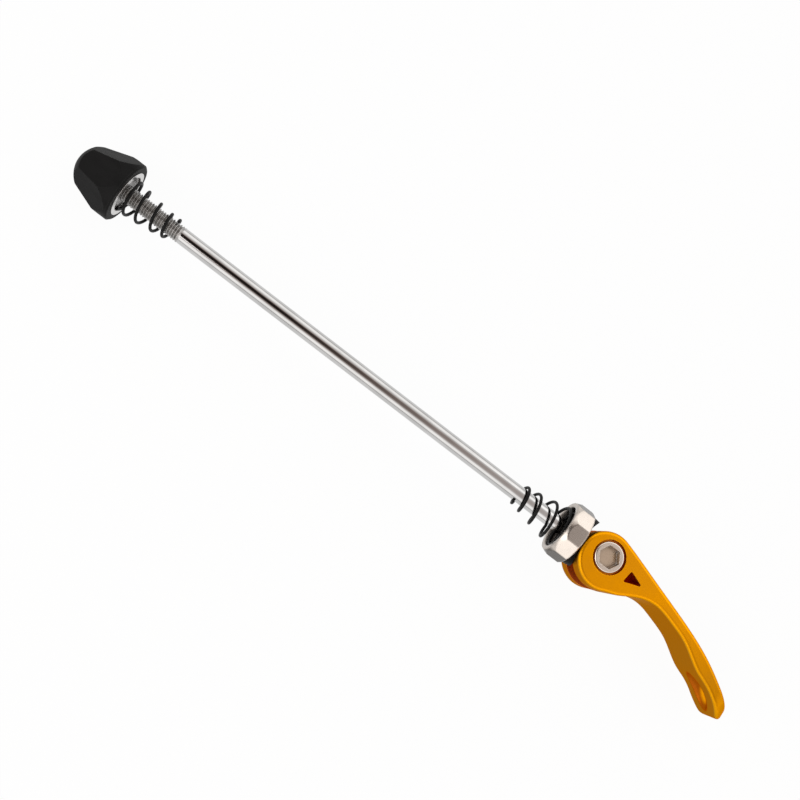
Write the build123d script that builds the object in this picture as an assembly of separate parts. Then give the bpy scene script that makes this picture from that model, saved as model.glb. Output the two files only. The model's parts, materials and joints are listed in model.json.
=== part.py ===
from build123d import *
from math import asin, cos, degrees, pi, radians, sin, sqrt
import os

# Quick release skewer for a bicycle's rear wheel, with an open cam and a conical spring at each end.
# X runs along the rod from the nut to the lever. Z is the pivot axis of the lever, up.
# The origin lies on the rod's axis, in the plane of the cup's clamp face. All sizes are millimetres.

# Rod
ROD_D = 4.85
THREAD_D = 5.0
THREAD_LENGTH = 33.5
ROD_CHAMFER = 0.6
ROD_SINK = 1.0                  # the rod's end inside the nut's mouth
CLAMP_SPAN = 154.0              # between the two clamp faces

# Clearances
THREAD_PLAY = 0.03
SLIDE_PLAY = 0.1
PIVOT_PLAY = 0.05
SEAT_PLAY = 0.02

# Clamp cup
CUP_SIDES = 10
CUP_CORNER_D = 17.7
CUP_LENGTH = 6.05
CUP_TURN = 5.0                  # degrees from a flat facing up
CUP_FACE_D = 16.2
CUP_FRONT_BEVEL = 1.8
CUP_REAR_BEVEL = 0.4
CUP_RECESS_D = 13.4
CUP_RECESS_DEPTH = 2.6
CUP_RECESS_BEVEL = 0.35
CUP_WEB = 1.1
CUP_WEB_HOLE_D = 11.4
CUP_POCKET_D = 15.5

# Cam saddle
SADDLE_WALL = 1.8               # web to the bottom of the seat
SADDLE_BOSS_D = 8.4
SADDLE_BOSS_RISE = 0.7
SADDLE_D = 16.2
SADDLE_HORN = 3.3
SADDLE_TAPER = 0.45

# Cam lever
LEVER_WIDTH = 15.4
LEVER_TIP_WIDTH = 15.0
CAM_R = 8.5
CAM_THROW = 1.4
SEAT_EASE = 0.6                 # seat radius over the cam's radius and throw
SEAT_GAP = 0.2
SLOT_WIDTH = 5.8
SLOT_BEHIND_PIVOT = 5.4
RECESS_D = 10.1
RECESS_DEPTH = 1.4
EDGE_ROUND = 1.1
TIP_CORNER_R = 7.0
OUTER_LEAVES = 75.0             # degrees round the cam where the arm's edges leave it
INNER_LEAVES = -66.0
ARM_OUTER = ((13, 3.55), (22, 0.75), (31.5, -2.3), (42.1, -6.7))
ARM_INNER = ((47.3, -14.2), (44, -12.5), (40.2, -11.1), (36.8, -9.2), (32.1, -6.4), (26.1, -4.35),
             (19.5, -3), (12.8, -4.7), (8, -7.4))
TIP_CENTRE = (53.2, -15.9)
TIP_R = 2.1
TIP_OUTER_ANGLE = 58.0
TIP_INNER_ANGLE = -127.0
WINDOW = ((7.6, 0.7), (7.0, -3.3), (12.8, -1.2))
WINDOW_ROUND = 0.4
DISH_CENTRE = (45.8, -15.6)
DISH_ANGLE = -33.0
DISH_LENGTH = 12.6
DISH_WIDTH = 7.4

# Pivot barrel
BARREL_D = 8.0
BARREL_HEAD_D = 8.9
BARREL_HEAD_BEVEL = 0.45
BARREL_END_SINK = 0.3
BARREL_WALL = 1.0               # left behind the rod's blind hole
SOCKET_WIDTH = 6.0
SOCKET_DEPTH = 2.4

# Springs
WIRE_D = 0.9
END_CLOSING = 0.35              # how far the pitch fades at both ends, 0 to 1
SPRING_SAG = 0.4                # the loose middle turns hang this far off the rod's axis
LEVER_SPRING_LENGTH = 18.6
LEVER_SPRING_TURNS = 4.6
LEVER_SPRING_SMALL_R = 3.2
LEVER_SPRING_START = 169.0      # degrees round the rod
NUT_SPRING_LENGTH = 16.8
NUT_SPRING_TURNS = 4.6
NUT_SPRING_BIG_R = 5.0
NUT_SPRING_SMALL_R = 3.2
NUT_SPRING_START = 191.0

# Nut
NUT_D = 18.6
NUT_RIM = 5.0
NUT_DOME = 11.2
NUT_MOUTH_D = 5.4
NUT_LIP = 0.25
NUT_RIM_ROUND = 0.5
NUT_TURN = 3.0                  # degrees from a flat facing up
NUT_SIDES = 6
NUT_FLATS_WIDTH = 19.4          # across the flats' planes where they cross the face's plane
NUT_FLATS_TAPER = 17.2          # degrees
FLANGE_D = 14.2
FLANGE_THICK = 2.2
CLAMP_RING_WIDTH = 1.5
FACE_SINK = 0.45
SERRATIONS = 32
SERRATION_DEPTH = 0.3
SERRATION_INNER_D = 8.4
CORE_HUB_WIDTH = 9.0
CORE_LENGTH = 10.2
LOCK_RING_D = 7.2
LOCK_RING_LENGTH = 2.2

# Places that follow from the sizes
WEB_FRONT = CUP_RECESS_DEPTH
WEB_BACK = WEB_FRONT + CUP_WEB
SEAT_BOTTOM = WEB_BACK + SADDLE_WALL
SEAT_R = CAM_R + CAM_THROW + SEAT_EASE
SEAT_X = SEAT_BOTTOM + SEAT_R
PIVOT_X = SEAT_X - sqrt((SEAT_R - CAM_R - SEAT_GAP) ** 2 - CAM_THROW ** 2)
NUT_FACE = -CLAMP_SPAN
NUT_LENGTH = NUT_RIM + NUT_DOME * sqrt(1 - (NUT_MOUTH_D / NUT_D) ** 2)
ROD_START = NUT_FACE - NUT_LENGTH + ROD_SINK
BARREL_BLIND = PIVOT_X + BARREL_D / 2 - BARREL_WALL
HALF_WIDTH = LEVER_WIDTH / 2
RECESS_FLOOR = HALF_WIDTH - RECESS_DEPTH
FROM_BASE = (Align.CENTER, Align.CENTER, Align.MIN)


def turned(points):
    """A solid of revolution about X from (x, radius) corners."""
    return revolve(make_face(Polyline(*points, close=True)), Axis.X)


def bar(diameter, start, end):
    """A round bar along X."""
    return Plane.YZ.offset(start) * Cylinder(diameter / 2, end - start, align=FROM_BASE)


def post(diameter, low, high, x=0.0, y=0.0):
    """A round post along Z."""
    return Pos(x, y, low) * Cylinder(diameter / 2, high - low, align=FROM_BASE)


def hexagon(width, start, length, taper=0.0):
    """A hexagonal block along X, turned like the nut, narrowing by the taper's angle."""
    outline = RegularPolygon(width / 2, NUT_SIDES, major_radius=False, rotation=NUT_TURN)
    return Plane.YZ.offset(start) * extrude(outline, length, taper=taper)


def make_rod():
    """The rod: chamfered thread, plain shank, and the thread that sits in the barrel."""
    thread, shank = THREAD_D / 2, ROD_D / 2
    thread_end = ROD_START + THREAD_LENGTH
    barrel_thread = PIVOT_X - BARREL_D / 2 - ROD_CHAMFER
    rod_end = BARREL_BLIND - SEAT_PLAY
    return turned([
        (ROD_START, 0), (ROD_START, thread - ROD_CHAMFER), (ROD_START + ROD_CHAMFER, thread),
        (thread_end, thread), (thread_end + ROD_CHAMFER, shank),
        (barrel_thread, shank), (barrel_thread, thread),
        (rod_end - ROD_CHAMFER, thread), (rod_end, thread - ROD_CHAMFER), (rod_end, 0),
    ])


def make_barrel():
    """The cross barrel: a shaft through both cheeks, a head in the recess, and a hex socket."""
    low, head_low = -HALF_WIDTH + BARREL_END_SINK, RECESS_FLOOR + PIVOT_PLAY
    top = HALF_WIDTH
    shaft = post(BARREL_D, low, top, PIVOT_X)
    shaft = chamfer(shaft.edges().sort_by(Axis.Z)[0], BARREL_HEAD_BEVEL)
    head = post(BARREL_HEAD_D, head_low, top, PIVOT_X)
    head = fillet(head.edges().sort_by(Axis.Z)[-1], BARREL_HEAD_BEVEL)
    socket = Pos(PIVOT_X, 0, top - SOCKET_DEPTH) * extrude(
        RegularPolygon(SOCKET_WIDTH / 2, 6, major_radius=False), SOCKET_DEPTH)
    return shaft + head - socket - bar(THREAD_D + 2 * SEAT_PLAY, PIVOT_X - BARREL_D, BARREL_BLIND)


def on_circle(centre, radius, angle):
    """The point of a circle at an angle in degrees, and the direction of its turn there."""
    turn = radians(angle)
    point = (centre[0] + radius * cos(turn), centre[1] + radius * sin(turn))
    return point, (-sin(turn), cos(turn))


def lever_outline():
    """The lever seen along the pivot: the cam and the curved arm in one smooth line, pivot at the origin."""
    cam = (0, -CAM_THROW)
    outer_start, outer_way = on_circle(cam, CAM_R, OUTER_LEAVES)
    inner_end, inner_way = on_circle(cam, CAM_R, INNER_LEAVES)
    tip_outer, tip_outer_way = on_circle(TIP_CENTRE, TIP_R, TIP_OUTER_ANGLE)
    tip_inner, tip_inner_way = on_circle(TIP_CENTRE, TIP_R, TIP_INNER_ANGLE)
    inner = Spline(tip_inner, *ARM_INNER, inner_end, tangents=(
        (-tip_inner_way[0], -tip_inner_way[1]), (-inner_way[0], -inner_way[1])))
    outer = Spline(outer_start, *ARM_OUTER, tip_outer, tangents=(
        (-outer_way[0], -outer_way[1]), (-tip_outer_way[0], -tip_outer_way[1])))
    tip = CenterArc(TIP_CENTRE, TIP_R, TIP_INNER_ANGLE, TIP_OUTER_ANGLE - TIP_INNER_ANGLE)
    nose = CenterArc(cam, CAM_R, OUTER_LEAVES, 360 + INNER_LEAVES - OUTER_LEAVES)
    return make_face([nose, outer, tip, inner])


def lever_plan():
    """The lever seen from the side: an even taper from the cam to a tip with rounded corners."""
    start, reach = -CAM_R - TIP_R, TIP_CENTRE[0] + TIP_R + SLIDE_PLAY
    plan = make_face(Polyline(
        (start, HALF_WIDTH), (reach, LEVER_TIP_WIDTH / 2), (reach, -LEVER_TIP_WIDTH / 2),
        (start, -HALF_WIDTH), close=True))
    return fillet(plan.vertices().group_by(Axis.X)[-1], TIP_CORNER_R)


def make_lever():
    """The cam lever, made about its pivot and then moved there."""
    depth = CAM_R - 2 * TIP_CENTRE[1]
    body = extrude(lever_outline(), HALF_WIDTH, both=True)
    body = body & (Plane.XZ * extrude(lever_plan(), depth, both=True))
    body = fillet(body.edges().filter_by(GeomType.LINE, reverse=True), EDGE_ROUND)
    slot = Pos(SLOT_BEHIND_PIVOT - 2 * CAM_R, 0, 0) * Box(4 * CAM_R, 4 * CAM_R, SLOT_WIDTH)
    window = fillet(make_face(Polyline(*WINDOW, close=True)).vertices(), WINDOW_ROUND)
    window = extrude(window, LEVER_WIDTH, both=True)
    bore = post(BARREL_D + 2 * PIVOT_PLAY, -LEVER_WIDTH, LEVER_WIDTH)
    recess = post(RECESS_D, RECESS_FLOOR, LEVER_WIDTH)
    half_dish = make_face([
        EllipticalCenterArc((0, 0), DISH_LENGTH / 2, DISH_WIDTH / 2, arc_size=180),
        Line((DISH_LENGTH / 2, 0), (-DISH_LENGTH / 2, 0))])
    dish = Pos(*DISH_CENTRE) * Rot(0, 0, DISH_ANGLE) * revolve(half_dish, Axis.X)
    return Pos(PIVOT_X, 0, 0) * (body - slot - window - bore - recess - dish)


def make_cup():
    """The ten-sided clamp cup: bevelled outside, a spring recess in front and a pocket behind."""
    prism = Plane.YZ * Rot(0, 0, CUP_TURN) * extrude(
        RegularPolygon(CUP_CORNER_D / 2, CUP_SIDES, rotation=90 - 180 / CUP_SIDES), CUP_LENGTH)
    corner, face = CUP_CORNER_D / 2, CUP_FACE_D / 2
    bevels = turned([
        (0, 0), (0, face), (CUP_FRONT_BEVEL, corner), (CUP_LENGTH - CUP_REAR_BEVEL, corner),
        (CUP_LENGTH, corner - CUP_REAR_BEVEL), (CUP_LENGTH, 0)])
    recess, hole, pocket = CUP_RECESS_D / 2, CUP_WEB_HOLE_D / 2, CUP_POCKET_D / 2
    hollow = turned([
        (0, 0), (0, recess + CUP_RECESS_BEVEL), (CUP_RECESS_BEVEL, recess), (WEB_FRONT, recess),
        (WEB_FRONT, hole), (WEB_BACK, hole), (WEB_BACK, pocket), (CUP_LENGTH, pocket), (CUP_LENGTH, 0)])
    return (prism & bevels) - hollow


def make_saddle():
    """The moulded follower: a neck with a boss in the cup's web, a plug in its pocket and two horns."""
    neck = CUP_WEB_HOLE_D / 2 - SEAT_PLAY
    bore = max(ROD_D / 2 + SLIDE_PLAY, THREAD_D / 2 + THREAD_PLAY)
    plug, flange = CUP_POCKET_D / 2 - SEAT_PLAY, SADDLE_D / 2
    boss, boss_front = SADDLE_BOSS_D / 2, WEB_FRONT - SADDLE_BOSS_RISE
    horn_top = CUP_LENGTH + SADDLE_HORN
    plug_back, flange_front = WEB_BACK + SEAT_PLAY, CUP_LENGTH + SEAT_PLAY
    blank = turned([
        (boss_front, bore), (boss_front, boss), (WEB_FRONT, boss), (WEB_FRONT, neck), (plug_back, neck),
        (plug_back, plug), (flange_front, plug), (flange_front, flange),
        (horn_top, flange - SADDLE_TAPER), (horn_top, bore)])
    seat = post(2 * SEAT_R, -SADDLE_D, SADDLE_D, SEAT_X)
    return blank - seat


def make_spring(big_r, small_r, length, turns, start, sag):
    """A waisted coil from x = 0 of quarter-turn arcs, big end first, both end turns drawn close."""
    def place(share):
        angle = radians(start) + 2 * pi * turns * share
        radius = (big_r + small_r) / 2 + (big_r - small_r) / 2 * cos(pi * share)
        rise = share - END_CLOSING * sin(2 * pi * share) / (2 * pi)
        aside = sag * sin(pi * share)
        return ((length - WIRE_D) * rise, radius * cos(angle) + aside, radius * sin(angle))

    quarters = round(4 * turns)
    points = [place(index / (2 * quarters)) for index in range(2 * quarters + 1)]
    path = Wire([ThreePointArc(*points[first:first + 3]).edge() for first in range(0, 2 * quarters, 2)])
    return sweep(Plane(path @ 0, z_dir=path % 0) * Circle(WIRE_D / 2), path)


def make_lever_spring():
    """The cup's spring, from the recess floor towards the nut."""
    big_r = CUP_RECESS_D / 2 - WIRE_D / 2 - SLIDE_PLAY
    spring = make_spring(big_r, LEVER_SPRING_SMALL_R, LEVER_SPRING_LENGTH, LEVER_SPRING_TURNS,
                         LEVER_SPRING_START, SPRING_SAG)
    return Pos(WEB_FRONT - WIRE_D / 2 - SEAT_PLAY, 0, 0) * Rot(0, 0, 180) * spring


def make_nut_spring():
    """The nut's spring, from the sunk face of the core towards the lever."""
    spring = make_spring(NUT_SPRING_BIG_R, NUT_SPRING_SMALL_R, NUT_SPRING_LENGTH, NUT_SPRING_TURNS,
                         NUT_SPRING_START, -SPRING_SAG)
    return Pos(NUT_FACE - FACE_SINK + WIRE_D / 2 + SEAT_PLAY, 0, 0) * spring


def make_nut_core():
    """The steel insert: a flange with a smooth clamp ring, a serrated sunk face, and a hexagonal hub."""
    flange_back, core_back = NUT_FACE - FLANGE_THICK, NUT_FACE - CORE_LENGTH
    sunk_r = FLANGE_D / 2 - CLAMP_RING_WIDTH
    core = bar(FLANGE_D, flange_back, NUT_FACE)
    core += hexagon(CORE_HUB_WIDTH, flange_back, FLANGE_THICK - CORE_LENGTH)
    core -= bar(2 * sunk_r, NUT_FACE - FACE_SINK, NUT_FACE)
    depth = SERRATION_DEPTH
    tooth = make_face(Polyline((0, depth), (-depth, 0), (0, -depth), close=True))
    groove = Pos(NUT_FACE - FACE_SINK, 0, SERRATION_INNER_D / 2) * extrude(
        tooth, sunk_r - SERRATION_INNER_D / 2)
    core -= [Rot(X=360 * index / SERRATIONS) * groove for index in range(SERRATIONS)]
    core -= bar(THREAD_D + 2 * THREAD_PLAY, core_back, NUT_FACE)
    return core - bar(LOCK_RING_D, core_back, core_back + LOCK_RING_LENGTH)


def make_lock_ring():
    """The nylon ring pressed into the outer end of the core."""
    start = NUT_FACE - CORE_LENGTH
    ring = bar(LOCK_RING_D - 2 * SEAT_PLAY, start, start + LOCK_RING_LENGTH - SEAT_PLAY)
    return ring - bar(THREAD_D + 2 * THREAD_PLAY, start, start + LOCK_RING_LENGTH)


def make_nut_shell():
    """The moulded shell: a round rim, a dome with tapering finger flats, and a pocket for the core."""
    rim_r, mouth_r = NUT_D / 2, NUT_MOUTH_D / 2
    dome_x, lip_x = NUT_FACE - NUT_RIM, NUT_FACE - NUT_LIP
    mouth_angle = degrees(asin(mouth_r / rim_r))
    dome = EllipticalCenterArc((dome_x, 0), NUT_DOME, rim_r, start_angle=90, arc_size=90 - mouth_angle)
    rim = Polyline(dome @ 1, (NUT_FACE - NUT_LENGTH, 0), (lip_x, 0), (lip_x, rim_r - NUT_RIM_ROUND),
                   (lip_x - NUT_RIM_ROUND, rim_r), dome @ 0)
    shell = revolve(make_face([dome, rim]), Axis.X)
    shell &= hexagon(NUT_FLATS_WIDTH, NUT_FACE, -NUT_LENGTH, NUT_FLATS_TAPER)
    flange_back = NUT_FACE - FLANGE_THICK - SEAT_PLAY
    shell -= bar(FLANGE_D + 2 * SEAT_PLAY, flange_back, NUT_FACE)
    shell -= hexagon(CORE_HUB_WIDTH + 2 * SEAT_PLAY, NUT_FACE, -CORE_LENGTH - SEAT_PLAY)
    return shell - bar(NUT_MOUTH_D, NUT_FACE - 2 * NUT_LENGTH, NUT_FACE)


PIECES = {
    "skewer_rod": make_rod,
    "pivot_barrel": make_barrel,
    "cam_lever": make_lever,
    "cam_saddle": make_saddle,
    "clamp_cup": make_cup,
    "lever_spring": make_lever_spring,
    "nut_spring": make_nut_spring,
    "nut_core": make_nut_core,
    "nut_lock_ring": make_lock_ring,
    "nut_shell": make_nut_shell,
}

os.makedirs("parts", exist_ok=True)
for name, make in PIECES.items():
    export_step(make(), f"parts/{name}.step")
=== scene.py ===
"""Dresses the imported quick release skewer, and sets it in a pale studio with its camera."""
import json
from math import pi, radians

import bpy
from bpy.props import FloatProperty, FloatVectorProperty, IntProperty, PointerProperty
from bpy.types import Operator, Panel, PropertyGroup
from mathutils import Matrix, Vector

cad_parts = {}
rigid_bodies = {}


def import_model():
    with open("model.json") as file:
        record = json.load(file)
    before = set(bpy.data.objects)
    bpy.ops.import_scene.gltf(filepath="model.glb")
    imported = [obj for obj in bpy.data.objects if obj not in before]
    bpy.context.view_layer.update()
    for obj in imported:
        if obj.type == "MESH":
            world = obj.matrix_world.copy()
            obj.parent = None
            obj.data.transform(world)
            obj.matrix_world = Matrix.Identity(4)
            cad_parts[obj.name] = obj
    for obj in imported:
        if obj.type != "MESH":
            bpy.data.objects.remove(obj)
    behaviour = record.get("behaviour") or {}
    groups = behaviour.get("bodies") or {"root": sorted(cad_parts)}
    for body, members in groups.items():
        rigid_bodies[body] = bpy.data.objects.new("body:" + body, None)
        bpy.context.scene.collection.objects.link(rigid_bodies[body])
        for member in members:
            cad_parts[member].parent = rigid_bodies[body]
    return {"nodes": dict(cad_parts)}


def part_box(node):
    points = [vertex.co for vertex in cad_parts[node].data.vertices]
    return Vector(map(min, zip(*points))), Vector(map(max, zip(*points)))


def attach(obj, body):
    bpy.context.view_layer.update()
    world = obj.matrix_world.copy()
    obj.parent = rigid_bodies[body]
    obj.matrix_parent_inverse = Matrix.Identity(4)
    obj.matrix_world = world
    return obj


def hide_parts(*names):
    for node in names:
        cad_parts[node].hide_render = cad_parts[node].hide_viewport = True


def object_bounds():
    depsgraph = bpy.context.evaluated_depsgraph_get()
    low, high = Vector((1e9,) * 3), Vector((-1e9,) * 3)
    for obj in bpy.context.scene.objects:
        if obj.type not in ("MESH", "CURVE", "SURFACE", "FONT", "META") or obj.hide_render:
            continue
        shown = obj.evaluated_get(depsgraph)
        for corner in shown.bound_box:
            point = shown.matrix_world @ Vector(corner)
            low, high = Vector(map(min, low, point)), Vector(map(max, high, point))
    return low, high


bl_info = {
    "name": "Quick Release Skewer",
    "version": (1, 0, 0),
    "blender": (4, 5, 0),
    "location": "View3D > Sidebar > Skewer",
    "description": "Finishes for a bicycle's quick release skewer, with its thread, springs and studio",
    "category": "Object",
}

for leftover in list(bpy.data.objects):
    bpy.data.objects.remove(leftover)
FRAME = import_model()
CAD_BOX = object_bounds()
ROD_LOW, ROD_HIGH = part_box("skewer_rod")
MM = 0.001
WHITE = (1.0, 1.0, 1.0)

# Places on the solids that the finishes follow, in millimetres and degrees. Pairs are where a mask
# begins and ends its fade.
# The slot, the fade towards the tip, the dish and the cup's mouth bound painted shade, and the barrel's
# rim bounds a painted highlight.
# The dish's painted highlight has its place in halves of the dish.
SLOT_WALL = (2.95, 3.2)
SLOT_END = (20.0, 20.4)
LEVER_FADE = (35.0, 80.0)
DISH_CENTRE = (60.67, -15.6, 0.0)
DISH_TURN = -33.0
DISH_HALVES = (6.3, 3.7, 3.7)
DISH_HIGHLIGHT = (0.3, 0.93, -0.12)
CUP_FRONT = (0.02, 0.3)
CUP_MOUTH = (6.6, 7.1)
BARREL_HIGHLIGHT_RIM = 3.0
CORE_FACE = 5.8

# How finely the new pieces are meshed.
ROWS_PER_TURN = 10
POINTS_PER_TURN = 56
WIRE_SIDES = 16
WELD = 1e-6
SHARP_ANGLE = radians(50)


def length(label, about, default):
    """A length property in metres."""
    return FloatProperty(name=label, description=about, default=default, min=0.0, precision=5,
                         subtype="DISTANCE", unit="LENGTH")


def place(label, about, default):
    """A coordinate property in metres."""
    return FloatProperty(name=label, description=about, default=default, precision=5,
                         subtype="DISTANCE", unit="LENGTH")


def share(label, about, default):
    """A property between nothing and all."""
    return FloatProperty(name=label, description=about, default=default, min=0.0, max=1.0,
                         subtype="FACTOR")


def power(label, about, default):
    """A lamp's power property in watts."""
    return FloatProperty(name=label, description=about, default=default, min=0.0,
                         subtype="POWER", unit="POWER")


def point(label, about, default):
    """A place in metres."""
    return FloatVectorProperty(name=label, description=about, default=default, size=3,
                               subtype="TRANSLATION", unit="LENGTH")


def colour(label, about, default):
    """A colour property."""
    return FloatVectorProperty(name=label, description=about, default=default, min=0.0, max=1.0,
                               size=3, subtype="COLOR")


class RodSizes(PropertyGroup):
    """Sizes of the rod and its rolled thread."""
    start: place("Start", "Where the threaded end begins", ROD_LOW.x)
    end: place("End", "Where the rod ends inside the barrel", ROD_HIGH.x)
    thread_length: length("Thread length", "How far the thread runs", 33.5 * MM)
    thread_radius: length("Thread radius", "Outside radius of the thread", ROD_HIGH.y)
    shank_radius: length("Shank radius", "Radius of the plain rod", 2.425 * MM)
    pitch: length("Pitch", "Rise of the thread in one turn", 0.8 * MM)
    depth: length("Depth", "Crest to root of the thread", 0.46 * MM)
    chamfer: length("Chamfer", "Bevel of the threaded end", 0.6 * MM)
    sides: IntProperty(name="Sides", description="Faces round the rod", default=48, min=8)


class SpringSizes(PropertyGroup):
    """Sizes of the two conical springs."""
    wire: length("Wire", "Diameter of the wire", 0.9 * MM)
    closing: share("Closing", "How far the pitch fades at both ends", 0.35)
    sag: length("Sag", "How far the loose turns hang off the axis", 0.4 * MM)
    small_radius: length("Small radius", "Radius of the turns that hug the rod", 3.2 * MM)
    cup_seat: place("Cup seat", "Where the cup's spring begins", 2.13 * MM)
    cup_radius: length("Cup radius", "Radius of the turn in the cup", 6.15 * MM)
    cup_length: length("Cup length", "Free length of the cup's spring", 18.6 * MM)
    cup_turns: FloatProperty(name="Cup turns", description="Turns of the cup's spring", default=4.6)
    cup_start: FloatProperty(name="Cup start", description="Where the first turn begins",
                             default=radians(169), subtype="ANGLE", unit="ROTATION")
    nut_seat: place("Nut seat", "Where the nut's spring begins", -153.98 * MM)
    nut_radius: length("Nut radius", "Radius of the turn on the nut", 5.0 * MM)
    nut_length: length("Nut length", "Free length of the nut's spring", 16.8 * MM)
    nut_turns: FloatProperty(name="Nut turns", description="Turns of the nut's spring", default=4.6)
    nut_start: FloatProperty(name="Nut start", description="Where the first turn begins",
                             default=radians(191), subtype="ANGLE", unit="ROTATION")


class Colours(PropertyGroup):
    """Colours of the finishes."""
    chrome: colour("Chrome", "Plated rod", (0.56, 0.555, 0.55))
    grime: colour("Grime", "Oil and dust in the thread", (0.15, 0.135, 0.12))
    gold: colour("Gold", "Anodised lever", (0.92, 0.36, 0.001))
    # The tip, side, dish and deep golds are painted shade, and the rim gold is a painted highlight tone.
    # The side gold also gives the dye's random drift.
    gold_tip_shade: colour("Tip gold", "Deeper dye towards the lever's tip", (0.56, 0.22, 0.001))
    gold_dye_and_side_shade: colour("Side gold", "Darker dye on the lever's edges", (0.37, 0.165, 0.025))
    gold_dish_shade: colour("Dish gold", "Deeper dye in the finger dish", (0.36, 0.085, 0.002))
    gold_rim_highlight: colour("Rim gold", "Paler dye on the rounded rims", (0.68, 0.30, 0.003))
    gold_hollow_shade: colour("Deep gold", "Dye pooled in the lever's hollows", (0.55, 0.10, 0.03))
    gold_sheen: colour("Gold sheen", "Tint of the lever's grazing highlights", (0.9, 0.5, 0.1))
    nickel: colour("Nickel", "Plated cup", (0.78, 0.70, 0.63))
    # Painted shade inside the cup.
    cup_inside_shade: colour("Cup inside", "Dull plating inside the cup", (0.05, 0.048, 0.046))
    barrel: colour("Barrel", "Turned pivot barrel", (0.62, 0.49, 0.37))
    # Painted highlight on the rim of the barrel's head.
    barrel_rim_highlight: colour("Barrel rim", "Bright rim of the barrel's head", (0.74, 0.65, 0.57))
    steel: colour("Steel", "Turned nut core", (0.60, 0.59, 0.58))
    turned_edge: colour("Turned edge", "Burnished edges of turned steel", (0.82, 0.80, 0.79))
    # Painted shade in recesses of turned steel, and the darker zone within a given radius.
    turned_shade_and_dark_zone: colour("Turned pit", "Recesses of turned steel", (0.12, 0.115, 0.11))
    spring: colour("Spring", "Blackened wire", (0.004, 0.004, 0.004))
    spring_rubbed: colour("Rubbed spring", "Wire where the turns have rubbed", (0.03, 0.029, 0.028))
    shell: colour("Shell", "Moulded nut", (0.008, 0.008, 0.008))
    saddle: colour("Saddle", "Moulded cam saddle", (0.004, 0.003, 0.003))
    nylon: colour("Nylon", "Lock ring", (0.74, 0.73, 0.66))
    floor: colour("Floor", "Pale studio floor", (0.80, 0.80, 0.80))


class Studio(PropertyGroup):
    """The camera, the lamps and the surroundings."""
    camera_place: point("Camera", "Place of the camera", (-0.080909, -0.055954, 0.281569))
    camera_turn: FloatVectorProperty(name="Camera turn", description="Turn of the camera", size=3,
                                     default=(radians(6.486), radians(-10.3319), radians(36.4702)),
                                     subtype="EULER", unit="ROTATION")
    lens: FloatProperty(name="Lens", description="Focal length in millimetres", default=45.4825)
    sensor: FloatProperty(name="Sensor", description="Sensor's width in millimetres", default=36.0)
    near: length("Near", "Nearest distance that the camera sees", 0.01)
    key_place: point("Key", "Place of the main softbox", (-0.45, -0.30, 0.55))
    key_power: power("Key power", "Power of the main softbox", 1.6)
    fill_place: point("Fill", "Place of the second softbox", (0.35, 0.45, 0.40))
    fill_power: power("Fill power", "Power of the second softbox", 0.25)
    softbox_side: length("Softbox", "Side of both softboxes", 0.5)
    floor_half: length("Floor", "Half the floor's side", 6.0)
    tent: colour("Tent", "Light of the tent round the part", (1.0, 0.985, 0.97))
    gap: colour("Gap", "Light of the dark gap overhead", (1.0, 0.72, 0.62))
    gap_shift: share("Gap shift", "How far the gap lies to the part's -Y side", 0.07)
    sky: FloatProperty(name="Surroundings", description="Brightness of the tent", default=1.5, min=0.0)


class Flow:
    """One output of a node. Sums and products of flows add Math nodes."""

    def __init__(self, graph, socket):
        self.graph = graph
        self.socket = socket

    def out(self, name):
        """Another output of the same node."""
        return Flow(self.graph, self.socket.node.outputs[name])

    def math(self, operation, *others):
        """A Math node with this flow first."""
        return self.graph.maths(operation, self, *others)

    def __add__(self, other):
        return self.math("ADD", other)

    def __radd__(self, other):
        return self.graph.maths("ADD", other, self)

    def __sub__(self, other):
        return self.math("SUBTRACT", other)

    def __rsub__(self, other):
        return self.graph.maths("SUBTRACT", other, self)

    def __mul__(self, other):
        return self.math("MULTIPLY", other)

    def __rmul__(self, other):
        return self.graph.maths("MULTIPLY", other, self)

    def __truediv__(self, other):
        return self.math("DIVIDE", other)

    def __rtruediv__(self, other):
        return self.graph.maths("DIVIDE", other, self)


class Graph:
    """A node tree that grows by one method."""

    def __init__(self, tree):
        self.tree = tree

    def feed(self, socket, value):
        """Links a flow to a socket, or sets the socket's own value."""
        if isinstance(value, Flow):
            self.tree.links.new(value.socket, socket)
        else:
            socket.default_value = value

    def node(self, kind, settings=None, inputs=None, output=0):
        """Adds a node: its settings first, then its sockets by name or number."""
        made = self.tree.nodes.new(kind)
        for name, value in (settings or {}).items():
            setattr(made, name, value)
        for key, value in (inputs or {}).items():
            self.feed(made.inputs[key], value)
        return Flow(self, made.outputs[output])

    def maths(self, operation, *values):
        """Adds a Math node."""
        return self.node("ShaderNodeMath", {"operation": operation}, dict(enumerate(values)))

    def vectors(self, operation, *values, output="Vector"):
        """Adds a Vector Math node."""
        return self.node("ShaderNodeVectorMath", {"operation": operation}, dict(enumerate(values)),
                         output)

    def parts(self, vector):
        """A vector's X, with Y and Z as further outputs."""
        return self.node("ShaderNodeSeparateXYZ", inputs={0: vector})

    def clamp(self, value):
        """The value held between 0 and 1."""
        return self.node("ShaderNodeClamp", inputs={"Value": value})

    def ramp(self, value, low, high, start=0.0, end=1.0):
        """A smooth step of a value between two levels."""
        return self.node("ShaderNodeMapRange", {"interpolation_type": "SMOOTHSTEP"}, {
            "Value": value, "From Min": low, "From Max": high, "To Min": start, "To Max": end})

    def blend(self, factor, first, second):
        """A mix of two colours."""
        return self.node("ShaderNodeMix", {"data_type": "RGBA"}, {
            0: factor, 6: self.solid(first), 7: self.solid(second)}, output=2)

    def solid(self, paint):
        """A colour as a socket takes it."""
        return paint if isinstance(paint, Flow) else (*paint, 1.0)


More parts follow.
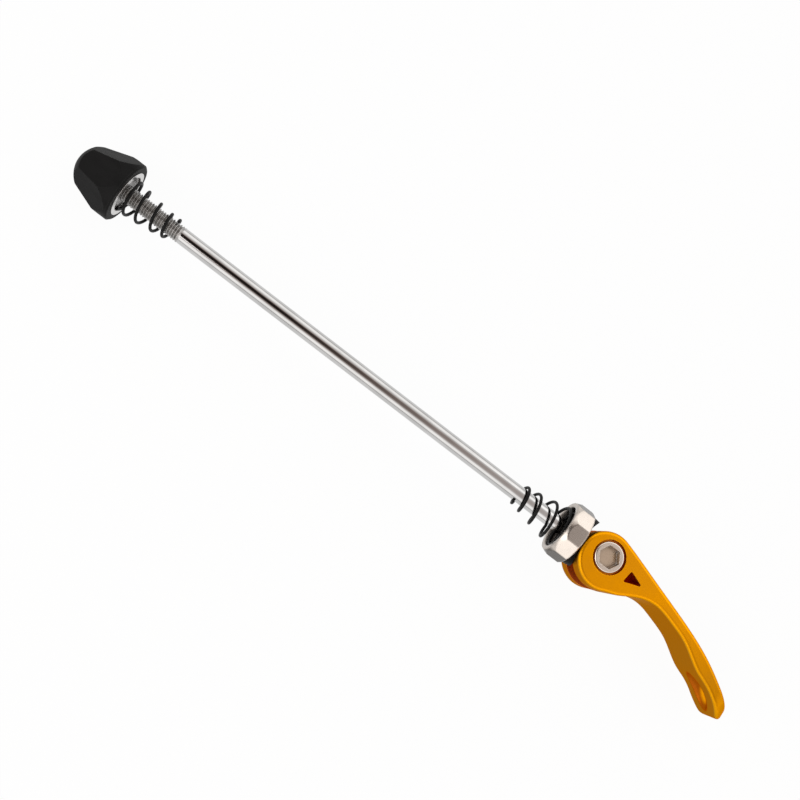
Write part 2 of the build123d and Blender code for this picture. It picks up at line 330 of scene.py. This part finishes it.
class Shape(Graph):
    """A geometry tree with named sizes, turned into a plain mesh object."""

    def __init__(self, name, sizes):
        tree = bpy.data.node_groups.new(name, "GeometryNodeTree")
        super().__init__(tree)
        self.name = name
        self.sizes = sizes
        for label, value in sizes.items():
            kind = "NodeSocketInt" if isinstance(value, int) else "NodeSocketFloat"
            tree.interface.new_socket(label, in_out="INPUT", socket_type=kind)
        tree.interface.new_socket("Geometry", in_out="OUTPUT", socket_type="NodeSocketGeometry")
        self.entry = tree.nodes.new("NodeGroupInput")

    def size(self, label):
        """One of the named sizes."""
        return Flow(self, self.entry.outputs[label])

    def finish(self, geometry, material):
        """Closes the tree and returns its result as an object with a plain mesh."""
        real = self.node("GeometryNodeRealizeInstances", inputs={0: geometry})
        dressed = self.node("GeometryNodeSetMaterial", inputs={"Geometry": real, "Material": material})
        self.feed(self.tree.nodes.new("NodeGroupOutput").inputs[0], dressed)
        piece = bpy.data.objects.new(self.name, bpy.data.meshes.new(self.name))
        bpy.context.collection.objects.link(piece)
        modifier = piece.modifiers.new(self.name, "NODES")
        modifier.node_group = self.tree
        for item in self.tree.interface.items_tree:
            if item.in_out == "INPUT":
                modifier[item.identifier] = self.sizes[item.name]
        seen = piece.evaluated_get(bpy.context.evaluated_depsgraph_get())
        mesh = bpy.data.meshes.new_from_object(seen)
        mesh.shade_smooth()
        mesh.set_sharp_from_angle(angle=SHARP_ANGLE)
        piece.modifiers.clear()
        piece.data = mesh
        return piece


class Finish(Graph):
    """A material whose patterns lie in the part's own millimetres, so scales count waves in each."""
    COLOURED = ("Base Color", "Specular Tint")

    def __init__(self, name):
        self.material = bpy.data.materials.new(name)
        self.material.use_nodes = True
        super().__init__(self.material.node_tree)
        self.shader = self.tree.nodes["Principled BSDF"]
        spot = self.node("ShaderNodeTexCoord", output="Object")
        self.mm = self.node("ShaderNodeVectorMath", {"operation": "SCALE"}, {0: spot, "Scale": 1 / MM})

    def stretched(self, scale, turn=(0, 0, 0), move=(0, 0, 0)):
        """The millimetre coordinates moved, turned and scaled."""
        return self.node("ShaderNodeMapping", {"vector_type": "TEXTURE"}, {
            "Vector": self.mm, "Location": move, "Rotation": [radians(a) for a in turn],
            "Scale": [1 / s for s in scale]})

    def noise(self, vector, scale, detail=3.0, roughness=0.5):
        """Soft noise from 0 to 1."""
        return self.node("ShaderNodeTexNoise", inputs={
            "Vector": vector, "Scale": scale, "Detail": detail, "Roughness": roughness})

    def from_axis(self, centre=(0, 0, 0), along="X"):
        """Distance in millimetres from an axis through a point."""
        spread = {"X": (0, 1, 1), "Z": (1, 1, 0)}[along]
        flat = self.vectors("MULTIPLY", self.vectors("SUBTRACT", self.mm, centre), spread)
        return self.vectors("LENGTH", flat, output="Value")

    def rings(self, radius, scale, detail):
        """Noise that changes with the radius alone, like the marks of a lathe."""
        line = self.node("ShaderNodeCombineXYZ", inputs={0: radius * scale})
        return self.noise(line, 1.0, detail, 0.6)

    def openness(self, reach):
        """0 deep in a hollow and 1 where nothing stands within the reach in millimetres. The finishes
        darken by it, as painted shade in hollows.
        """
        return self.node("ShaderNodeAmbientOcclusion", {"samples": 8, "only_local": True},
                         {"Distance": reach * MM}, output="AO")

    def soft_edge(self, radius):
        """A normal that rounds the edges, and a mask that is 1 on them."""
        normal = self.node("ShaderNodeBevel", {"samples": 6}, {"Radius": radius * MM})
        plain = self.node("ShaderNodeNewGeometry", output="Normal")
        match = self.vectors("DOT_PRODUCT", normal, plain, output="Value")
        return normal, self.ramp(1 - match, 0.004, 0.12)

    def bump(self, height, depth, normal=None):
        """A relief of that depth in millimetres, over an optional normal."""
        inputs = {"Height": height, "Strength": 1.0, "Distance": depth * MM}
        if normal:
            inputs["Normal"] = normal
        return self.node("ShaderNodeBump", inputs=inputs)

    def finish(self, **sockets):
        """Feeds the shader's sockets and returns the material."""
        for name, value in sockets.items():
            key = name.replace("_", " ").title().replace("Ior", "IOR")
            self.feed(self.shader.inputs[key], self.solid(value) if key in self.COLOURED else value)
        return self.material


def shade(paint, factor):
    """A colour made darker or brighter."""
    return [channel * factor for channel in paint]


def chrome_finish(paint, rod):
    """Bright plated rod: drawing lines along it, and dull oil on the thread, most in its roots."""
    skin = Finish("chrome_rod")
    lines = skin.noise(skin.stretched((0.06, 5.0, 5.0)), 1.0, 4.0, 0.6)
    clouds = skin.noise(skin.mm, 0.18, 2.0)
    thread_end = (rod.start + rod.thread_length) / MM
    threaded = skin.ramp(skin.parts(skin.mm), thread_end - 0.6, thread_end + 0.2, 1.0, 0.0)
    crest = rod.thread_radius / MM
    root = skin.ramp(skin.from_axis(), crest - 0.42, crest - 0.12, 1.0, 0.0)
    grime = skin.clamp(threaded * (0.36 + root * 0.28 + clouds * 0.15))
    worn = skin.blend(skin.ramp(clouds, 0.35, 0.75), paint.chrome, shade(paint.chrome, 0.9))
    return skin.finish(
        base_color=skin.blend(grime, worn, paint.grime),
        metallic=1.0,
        roughness=0.05 + lines * 0.09 + threaded * 0.26,
        normal=skin.bump(lines, 0.0015))


def gold_finish(paint):
    """Satin anodised lever: blasted grain and drifting dye, with painted shade on the sides, in the
    hollows and slot, towards the tip and in the dish, a painted highlight in the dish, and a painted
    highlight tone on the rounded rims.
    """
    skin = Finish("gold_anodised_lever")
    normal, edge = skin.soft_edge(0.25)
    grain = skin.noise(skin.mm, 9.0, 3.0, 0.6)
    drift = skin.noise(skin.mm, 0.16, 3.0)
    streak = skin.noise(skin.stretched((0.12, 2.2, 1.4), (0, 0, -17)), 1.0, 3.0, 0.55)
    spot = skin.parts(skin.mm)
    # Painted shade: the slot, and the hollows by occlusion, are darkened in the colour.
    slot_width = skin.ramp(spot.out("Z").math("ABSOLUTE"), *SLOT_WALL, 1.0, 0.0)
    slot = slot_width * skin.ramp(spot, *SLOT_END, 1.0, 0.0)
    painted_hollow_shade = skin.clamp(skin.ramp(skin.openness(6), 0.2, 0.85, 1.0, 0.0) + slot * 0.8)
    facing = skin.parts(skin.node("ShaderNodeTexCoord", output="Normal"))
    level = facing.out("Z").math("ABSOLUTE")
    # Painted shade: the colour darkens along X towards the lever's tip.
    fading = skin.blend(skin.ramp(spot, *LEVER_FADE), paint.gold, paint.gold_tip_shade)
    # Random dye drift, towards the colour that also gives the painted side shade.
    dyed = skin.blend(skin.ramp(drift, 0.3, 0.7) * 0.1 + streak * 0.06, fading, paint.gold_dye_and_side_shade)
    # Painted highlight tone on the rounded rims, picked by the normal in the part's own axes.
    rimmed = skin.blend(skin.ramp(level, 0.55, 0.97), paint.gold_rim_highlight, dyed)
    # Painted shade on the sides that face away from the part's Z axis.
    sided = skin.blend(skin.ramp(level, 0.15, 0.6), paint.gold_dye_and_side_shade, rimmed)
    # Painted shade in the finger dish, with a painted highlight at its bright spot.
    dish = skin.stretched([1 / half for half in DISH_HALVES], (0, 0, DISH_TURN), DISH_CENTRE)
    from_highlight = skin.vectors("DISTANCE", dish, DISH_HIGHLIGHT, output="Value")
    dish_shade_and_highlight = skin.blend(skin.ramp(from_highlight, 0.2, 0.55), paint.gold, paint.gold_dish_shade)
    from_dish = skin.vectors("LENGTH", dish, output="Value")
    dished = skin.blend(skin.ramp(from_dish, 1.02, 1.1, 1.0, 0.0), sided, dish_shade_and_highlight)
    return skin.finish(
        base_color=skin.blend(painted_hollow_shade, dished, paint.gold_hollow_shade),
        specular_tint=paint.gold_sheen,
        metallic=1.0,
        roughness=0.34 + grain * 0.10 + streak * 0.06 - edge * 0.06,
        normal=skin.bump(grain, 0.010, normal))


def nickel_finish(paint):
    """Brushed plating on the cup: lines round it, turned rings in front, and painted shade on the
    bevels, on some facets and inside the cup.
    """
    skin = Finish("nickel_cup")
    normal, edge = skin.soft_edge(0.7)
    brushed = skin.noise(skin.stretched((7.0, 0.5, 0.5)), 1.0, 4.0, 0.65)
    radius = skin.from_axis()
    front = skin.ramp(skin.parts(skin.mm), *CUP_FRONT, 1.0, 0.0)
    lines = skin.rings(radius, 6.0, 3.0) * front + brushed * (1 - front)
    stain = skin.noise(skin.mm, 0.35, 3.0)
    # Painted shade inside the cup's mouth.
    inside = skin.ramp(radius, *CUP_MOUTH, 1.0, 0.0)
    # Painted shade: the bevels and some facets, picked by their normal in the part's own axes, are
    # darkened almost to black.
    facing = skin.parts(skin.node("ShaderNodeVectorTransform", {
        "vector_type": "NORMAL", "convert_from": "WORLD", "convert_to": "OBJECT"}, {0: normal}))
    aside = facing.out("Y").math("ABSOLUTE")
    bevelled = skin.ramp(facing.math("ABSOLUTE"), 0.2, 0.55, 0.0, 0.45)
    faceted = skin.ramp(aside, 0.15, 0.42, 0.42, 0.0) + skin.ramp(aside, 0.72, 0.88, 0.0, 0.95)
    painted_facet_shade = faceted.math("MAXIMUM", bevelled)
    stained = skin.blend(skin.ramp(stain, 0.35, 0.7) * 0.3, paint.nickel, shade(paint.nickel, 0.85))
    body = skin.blend(painted_facet_shade, stained, shade(paint.nickel, 0.1))
    return skin.finish(
        base_color=skin.blend(inside * 0.8, body, paint.cup_inside_shade),
        metallic=1.0,
        roughness=0.20 + lines * 0.14 - edge * 0.05 + inside * 0.2,
        normal=skin.bump(lines, 0.006, normal))


def spring_finish(paint):
    """Blackened wire: drawn lines, and grey where the turns have rubbed."""
    skin = Finish("black_spring_wire")
    scale = skin.noise(skin.mm, 1.6, 4.0, 0.6)
    fine = skin.noise(skin.mm, 14.0, 2.0)
    rubbed = skin.ramp(scale, 0.58, 0.78)
    return skin.finish(
        base_color=skin.blend(rubbed * 0.5, paint.spring, paint.spring_rubbed),
        specular_ior_level=0.14,
        roughness=0.34 + fine * 0.14 + scale * 0.08,
        normal=skin.bump(fine, 0.006))


def moulded_finish(name, paint, roughness, grain_size, scuff):
    """Black moulded plastic: spark-eroded grain, flow marks, and scuffed edges."""
    skin = Finish(name)
    normal, edge = skin.soft_edge(0.35)
    grain = skin.noise(skin.mm, 1 / grain_size, 4.0, 0.65)
    flow = skin.noise(skin.stretched((0.10, 0.35, 0.35)), 1.0, 3.0)
    scratch = skin.ramp(skin.noise(skin.stretched((0.9, 5.0, 5.0), (0, 25, 40)), 1.0, 2.0), 0.64, 0.72)
    wear = skin.clamp(edge * 0.5 + scratch * 0.12 * flow)
    body = skin.blend(flow, paint, shade(paint, 1.8))
    return skin.finish(
        base_color=skin.blend(wear, body, shade(WHITE, scuff)),
        roughness=roughness + grain * 0.12 - flow * 0.08 + scratch * 0.06,
        specular_ior_level=0.03,
        normal=skin.bump(grain, 0.02, normal))


def turned_finish(name, paint, metal, axis, centre, dark_within, highlight_rim_from=None):
    """Lathe-turned steel: fine rings about its axis, painted shade in its recesses, darker and rougher
    within a given radius, and a painted highlight on the rim if it has one.
    """
    skin = Finish(name)
    normal, edge = skin.soft_edge(0.18)
    radius = skin.from_axis(centre, axis)
    rings = skin.rings(radius, 7.0, 4.0)
    stain = skin.noise(skin.mm, 0.5, 3.0)
    # Painted shade in the recesses, by occlusion.
    pit = skin.ramp(skin.openness(2), 0.3, 0.95, 0.55, 0.0)
    inner = skin.ramp(radius, dark_within - 0.15, dark_within + 0.1, 0.45, 0.0)
    body = skin.blend(skin.ramp(stain, 0.35, 0.7) * 0.3, metal, shade(metal, 0.8))
    # Painted highlight on the rim of the barrel's head.
    if highlight_rim_from:
        body = skin.blend(skin.ramp(radius, highlight_rim_from, highlight_rim_from + 0.3), body, paint.barrel_rim_highlight)
    burnished = skin.blend(edge * 0.4, body, paint.turned_edge)
    return skin.finish(
        base_color=skin.blend(skin.clamp(pit + inner), burnished, paint.turned_shade_and_dark_zone),
        metallic=1.0,
        roughness=0.17 + rings * 0.16 + inner * 0.25,
        normal=skin.bump(rings, 0.005, normal))


def nylon_finish(paint):
    """Milky lock ring with a faint turned grain."""
    skin = Finish("nylon_lock_ring")
    grain = skin.noise(skin.mm, 6.0, 3.0)
    cloud = skin.noise(skin.mm, 0.8, 2.0)
    return skin.finish(
        base_color=skin.blend(cloud, paint, shade(paint, 0.86)),
        roughness=0.42 + grain * 0.15,
        normal=skin.bump(grain, 0.01))


def floor_finish(paint):
    """Pale paper that stays white to the eye and in the metal, and keeps a soft shadow."""
    paper = Finish("studio_paper")
    fibre = paper.noise(paper.mm, 0.6, 4.0)
    paper.finish(base_color=paper.blend(fibre, paint, shade(paint, 0.98)), roughness=0.9)
    light = paper.node("ShaderNodeLightPath")
    seen = paper.clamp(light.out("Is Camera Ray") + light.out("Is Glossy Ray")
                       + light.out("Is Transmission Ray"))
    glow = paper.node("ShaderNodeEmission", inputs={"Color": (*WHITE, 1.0), "Strength": 1.0})
    mixed = paper.node("ShaderNodeMixShader", inputs={
        0: seen * 0.95, 1: Flow(paper, paper.shader.outputs[0]), 2: glow})
    paper.feed(paper.tree.nodes["Material Output"].inputs["Surface"], mixed)
    return paper.material


def dress(node, material):
    """Gives a CAD node its finish."""
    for slot in FRAME["nodes"][node].material_slots:
        slot.material = material


def thread_shape(rod, material):
    """The whole rod as rows of rings, whose radius follows the thread's helix."""
    shape = Shape("threaded_rod", {
        "Start": rod.start, "End": rod.end, "Thread Length": rod.thread_length,
        "Thread Radius": rod.thread_radius, "Shank Radius": rod.shank_radius,
        "Pitch": rod.pitch, "Depth": rod.depth, "Chamfer": rod.chamfer, "Sides": rod.sides})
    start, end, run = shape.size("Start"), shape.size("End"), shape.size("Thread Length")
    crest, shank = shape.size("Thread Radius"), shape.size("Shank Radius")
    pitch, depth, chamfer = shape.size("Pitch"), shape.size("Depth"), shape.size("Chamfer")
    # The first and last rows close the ends, and the last but one carries the shank to the rod's end.
    steps = (run / pitch * ROWS_PER_TURN).math("ROUND")
    grid = shape.node("GeometryNodeMeshGrid", inputs={
        "Size X": 1.0, "Size Y": 1.0, "Vertices X": steps + 4, "Vertices Y": shape.size("Sides") + 1})
    spot = shape.parts(shape.node("GeometryNodeInputPosition"))
    row = ((spot + 0.5) * (steps + 3)).math("ROUND")
    turn = spot.out("Y") + 0.5
    along = (row - 1).math("MAXIMUM", 0.0).math("MINIMUM", steps) * run / steps
    left = run - along
    flank = 1 - 2 * ((along / pitch + turn).math("FRACT") - 0.5).math("ABSOLUTE")
    valley = (1 - shape.clamp(flank * 1.4 - 0.2)) * shape.clamp(left / (pitch * 1.5))
    outer = crest - (crest - shank) * shape.clamp(1 - left / chamfer)
    ring = (outer - depth * valley).math("MINIMUM", crest - chamfer + along)
    radius = ring * row.math("GREATER_THAN", 0.5) * row.math("LESS_THAN", steps + 2.5)
    angle = turn * (-2 * pi)
    goal = shape.node("ShaderNodeCombineXYZ", inputs={
        0: start + along + row.math("GREATER_THAN", steps + 1.5) * (end - start - run),
        1: radius * angle.math("COSINE"), 2: radius * angle.math("SINE")})
    bent = shape.node("GeometryNodeSetPosition", inputs={"Geometry": grid, "Position": goal})
    closed = shape.node("GeometryNodeMergeByDistance", inputs={"Geometry": bent, "Distance": WELD})
    return shape.finish(closed, material)


def coil_shape(name, springs, seat, way, big, free_length, turns, start, material):
    """A waisted coil of round wire, its turns closing up towards both ends."""
    shape = Shape(name, {
        "Seat": seat, "Way": way, "Big Radius": big, "Small Radius": springs.small_radius,
        "Length": free_length, "Turns": turns, "Start": start, "Wire": springs.wire,
        "Closing": springs.closing, "Sag": springs.sag})
    wire, toward = shape.size("Wire"), shape.size("Way")
    big_radius, small_radius = shape.size("Big Radius"), shape.size("Small Radius")
    points = (shape.size("Turns") * POINTS_PER_TURN).math("ROUND")
    line = shape.node("GeometryNodeMeshLine", inputs={"Count": points + 1})
    part = shape.node("GeometryNodeInputIndex") / points
    angle = shape.size("Start") + shape.size("Turns") * part * (2 * pi)
    swing = (part * pi).math("COSINE")
    radius = (big_radius + small_radius) / 2 + (big_radius - small_radius) / 2 * swing
    rise = part - shape.size("Closing") / (2 * pi) * (part * (2 * pi)).math("SINE")
    hang = shape.size("Sag") * (part * pi).math("SINE")
    goal = shape.node("ShaderNodeCombineXYZ", inputs={
        0: shape.size("Seat") + toward * (shape.size("Length") - wire) * rise,
        1: toward * radius * angle.math("COSINE") - hang, 2: radius * angle.math("SINE")})
    bent = shape.node("GeometryNodeSetPosition", inputs={"Geometry": line, "Position": goal})
    path = shape.node("GeometryNodeMeshToCurve", inputs={0: bent})
    ring = shape.node("GeometryNodeCurvePrimitiveCircle", inputs={
        "Resolution": WIRE_SIDES, "Radius": wire / 2})
    tube = shape.node("GeometryNodeCurveToMesh", inputs={
        "Curve": path, "Profile Curve": ring, "Fill Caps": True})
    return shape.finish(tube, material)


class SKEWER_OT_rod(Operator):
    """Make the plated rod with its rolled thread"""
    bl_idname = "skewer.rod"
    bl_label = "Rod"

    def execute(self, context):
        scene = context.scene
        piece = thread_shape(scene.skewer_rod, chrome_finish(scene.skewer_colours, scene.skewer_rod))
        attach(piece, "rod")
        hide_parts("skewer_rod")
        return {"FINISHED"}


class SKEWER_OT_springs(Operator):
    """Make the two conical springs"""
    bl_idname = "skewer.springs"
    bl_label = "Springs"

    def execute(self, context):
        springs = context.scene.skewer_springs
        wire = spring_finish(context.scene.skewer_colours)
        cup = coil_shape("cup_spring_coil", springs, springs.cup_seat, -1.0, springs.cup_radius,
                         springs.cup_length, springs.cup_turns, springs.cup_start, wire)
        nut = coil_shape("nut_spring_coil", springs, springs.nut_seat, 1.0, springs.nut_radius,
                         springs.nut_length, springs.nut_turns, springs.nut_start, wire)
        for piece, body, node in ((cup, "clamp", "lever_spring"), (nut, "nut_carrier", "nut_spring")):
            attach(piece, body)
            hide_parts(node)
        return {"FINISHED"}


class SKEWER_OT_lever(Operator):
    """Finish the cam lever"""
    bl_idname = "skewer.lever"
    bl_label = "Cam Lever"

    def execute(self, context):
        dress("cam_lever", gold_finish(context.scene.skewer_colours))
        return {"FINISHED"}


class SKEWER_OT_barrel(Operator):
    """Finish the pivot barrel"""
    bl_idname = "skewer.barrel"
    bl_label = "Pivot Barrel"

    def execute(self, context):
        paint = context.scene.skewer_colours
        low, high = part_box("pivot_barrel")
        centre = [(low[i] + high[i]) / 2 / MM for i in range(3)]
        dress("pivot_barrel", turned_finish("turned_barrel", paint, paint.barrel, "Z", centre,
                                            dark_within=0.0, highlight_rim_from=BARREL_HIGHLIGHT_RIM))
        return {"FINISHED"}


class SKEWER_OT_cup(Operator):
    """Finish the clamp cup"""
    bl_idname = "skewer.cup"
    bl_label = "Clamp Cup"

    def execute(self, context):
        dress("clamp_cup", nickel_finish(context.scene.skewer_colours))
        return {"FINISHED"}


class SKEWER_OT_saddle(Operator):
    """Finish the moulded cam saddle"""
    bl_idname = "skewer.saddle"
    bl_label = "Cam Saddle"

    def execute(self, context):
        paint = context.scene.skewer_colours.saddle
        dress("cam_saddle", moulded_finish("saddle_plastic_grain", paint, roughness=0.42,
                                           grain_size=0.25, scuff=0.03))
        return {"FINISHED"}


class SKEWER_OT_nut(Operator):
    """Finish the nut's shell, core and lock ring"""
    bl_idname = "skewer.nut"
    bl_label = "Nut"

    def execute(self, context):
        paint = context.scene.skewer_colours
        dress("nut_shell", moulded_finish("shell_plastic_grain", paint.shell, roughness=0.42,
                                          grain_size=0.30, scuff=0.04))
        dress("nut_core", turned_finish("turned_nut_core", paint, paint.steel, "X", (0, 0, 0),
                                        dark_within=CORE_FACE))
        dress("nut_lock_ring", nylon_finish(paint.nylon))
        return {"FINISHED"}


class SKEWER_OT_stage(Operator):
    """Make the floor, the surroundings, the lamps and the camera"""
    bl_idname = "skewer.stage"
    bl_label = "Stage"

    def execute(self, context):
        studio = context.scene.skewer_studio
        self.floor(context, studio)
        self.surroundings(context, studio)
        self.softbox(context, "key_softbox", studio.key_place, studio.softbox_side, studio.key_power)
        self.softbox(context, "fill_softbox", studio.fill_place, studio.softbox_side, studio.fill_power)
        self.camera(context, studio)
        context.scene.view_settings.view_transform = "Standard"
        return {"FINISHED"}

    def floor(self, context, studio):
        """The pale floor under the part's lowest point."""
        half, low = studio.floor_half, CAD_BOX[0].z
        corners = [(-half, -half, low), (half, -half, low), (half, half, low), (-half, half, low)]
        mesh = bpy.data.meshes.new("studio_floor")
        mesh.from_pydata(corners, [], [(0, 1, 2, 3)])
        mesh.materials.append(floor_finish(context.scene.skewer_colours.floor))
        floor = bpy.data.objects.new("studio_floor", mesh)
        context.collection.objects.link(floor)

    def surroundings(self, context, studio):
        """A bright tent with a dark gap overhead, which the metal mirrors."""
        world = bpy.data.worlds.new("studio_tent")
        world.use_nodes = True
        context.scene.world = world
        tent = Graph(world.node_tree)
        way = tent.parts(tent.node("ShaderNodeTexCoord", output="Generated"))
        height = way.out("Z")
        # A veil pales the gap towards +X, and the gap ends well above the horizon.
        veil = tent.ramp(way, 0.02, 0.33, 0.015, 0.8)
        low = tent.ramp(height, 0.35, 0.6, 1.0, 0.0)
        off_gap = (way.out("Y") + studio.gap_shift).math("ABSOLUTE")
        lit = tent.ramp(off_gap, 0.18, 0.68, veil, 1.0).math("MAXIMUM", low)
        overhead = tent.ramp(height, 0.6, 0.85, 1.0, 0.6)
        wall = tent.ramp(height, 0.0, 0.35, 0.3, 1.0)
        back = world.node_tree.nodes["Background"]
        tent.feed(back.inputs["Color"], tent.blend(lit, studio.gap, studio.tent))
        tent.feed(back.inputs["Strength"], lit * overhead * wall * studio.sky)

    def softbox(self, context, name, spot, side, watts):
        """A square lamp that looks at the middle of the part."""
        lamp = bpy.data.lights.new(name, "AREA")
        lamp.size = side
        lamp.energy = watts
        holder = bpy.data.objects.new(name, lamp)
        holder.location = spot
        middle = (CAD_BOX[0] + CAD_BOX[1]) / 2
        holder.rotation_euler = (middle - spot).to_track_quat("-Z", "Y").to_euler()
        context.collection.objects.link(holder)

    def camera(self, context, studio):
        """The camera at the photograph's place."""
        eye = bpy.data.cameras.new("camera")
        eye.sensor_width = studio.sensor
        eye.lens = studio.lens
        eye.clip_start = studio.near
        holder = bpy.data.objects.new("camera", eye)
        holder.location = studio.camera_place
        holder.rotation_euler = studio.camera_turn
        context.collection.objects.link(holder)
        context.scene.camera = holder


OPERATORS = (
    SKEWER_OT_rod, SKEWER_OT_springs, SKEWER_OT_lever, SKEWER_OT_barrel,
    SKEWER_OT_cup, SKEWER_OT_saddle, SKEWER_OT_nut, SKEWER_OT_stage,
)
GROUPS = {
    "skewer_rod": RodSizes,
    "skewer_springs": SpringSizes,
    "skewer_colours": Colours,
    "skewer_studio": Studio,
}


class SKEWER_PT_sidebar(Panel):
    """Lists the skewer's pieces and their sizes"""
    bl_label = "Quick Release Skewer"
    bl_space_type = "VIEW_3D"
    bl_region_type = "UI"
    bl_category = "Skewer"

    def draw(self, context):
        for operator in OPERATORS:
            self.layout.operator(operator.bl_idname)
        for name, group in GROUPS.items():
            box = self.layout.box()
            for field in group.__annotations__:
                box.prop(getattr(context.scene, name), field)


def register():
    """Adds the classes, and the settings to the scene."""
    for group in GROUPS.values():
        bpy.utils.register_class(group)
    for name, group in GROUPS.items():
        setattr(bpy.types.Scene, name, PointerProperty(type=group))
    for operator in OPERATORS:
        bpy.utils.register_class(operator)
    bpy.utils.register_class(SKEWER_PT_sidebar)


def unregister():
    """Takes the classes and the settings away again."""
    bpy.utils.unregister_class(SKEWER_PT_sidebar)
    for operator in reversed(OPERATORS):
        bpy.utils.unregister_class(operator)
    for name, group in GROUPS.items():
        delattr(bpy.types.Scene, name)
        bpy.utils.unregister_class(group)


def main():
    """Makes every piece and the stage."""
    register()
    bpy.ops.skewer.rod()
    bpy.ops.skewer.springs()
    bpy.ops.skewer.lever()
    bpy.ops.skewer.barrel()
    bpy.ops.skewer.cup()
    bpy.ops.skewer.saddle()
    bpy.ops.skewer.nut()
    bpy.ops.skewer.stage()


if __name__ == "__main__":
    main()
